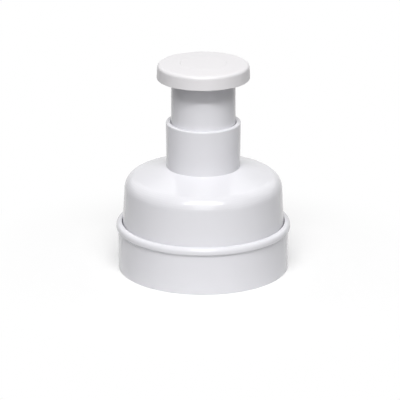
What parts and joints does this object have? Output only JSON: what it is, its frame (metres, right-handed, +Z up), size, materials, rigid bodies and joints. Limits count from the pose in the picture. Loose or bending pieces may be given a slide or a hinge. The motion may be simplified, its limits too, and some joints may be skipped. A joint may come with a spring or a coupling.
{
  "type": "patty press",
  "caption": "Adjustable round press for ground-meat patties: cup, domed housing, sprung plunger and a knob that sets the thickness.",
  "frame": {"origin": "on the axis, at the foot of the base cup, where it stands on the table", "axes": "+Z up along the axis of the press, from the foot to the knob; +X and +Y across it"},
  "size_m": [0.13, 0.13, 0.1581],
  "materials": {
    "white_shell": "glossy moulded white, very slightly cool",
    "white_knob": "glossy moulded white, slightly warm",
    "white_plate": "moulded white with a satin pressing face",
    "natural_acetal": "natural acetal, satin",
    "spring_steel": "drawn stainless spring wire",
    "stainless_steel": "bright stainless"
  },
  "bodies": {
    "base": {"base_cup": "white_shell"},
    "housing": {"housing": "white_shell", "guide_plate": "natural_acetal", "guide_screws": "stainless_steel", "spring_seat": "stainless_steel", "return_spring": "spring_steel"},
    "plunger": {"thrust_washer": "natural_acetal"},
    "knob": {"palm_knob": "white_knob", "knob_cap": "white_knob", "knob_screw": "stainless_steel", "knob_washer": "stainless_steel", "stem_sleeve": "white_shell", "spindle": "natural_acetal", "stop_washer": "stainless_steel", "stop_screw": "stainless_steel"},
    "plate": {"press_plate": "white_plate", "lift_tube": "natural_acetal", "feed_nut": "natural_acetal", "plate_screws": "stainless_steel"}
  },
  "joints": [
    {"name": "top_lift", "type": "slide", "parent": "base", "child": "housing", "axis": [0, 0, 1], "range_m": [0, 0.08]},
    {"name": "plunger_press", "type": "slide", "parent": "housing", "child": "plunger", "axis": [0, 0, -1], "range_m": [0, 0.03175], "stiffness_N_per_m": 650, "springref_m": -0.02, "deforming": ["return_spring"]},
    {"name": "knob_turn", "type": "hinge", "parent": "plunger", "child": "knob", "pos_m": [0, 0, 0.15], "axis": [0, 0, 1], "range_deg": [-360, 360]},
    {"name": "plate_feed", "type": "slide", "parent": "plunger", "child": "plate", "axis": [0, 0, -1], "range_m": [-0.00635, 0.00635]}
  ],
  "couplings": [
    {"joint": "plate_feed", "follows": "knob_turn", "m_per_rad": 0.0010106}
  ]
}
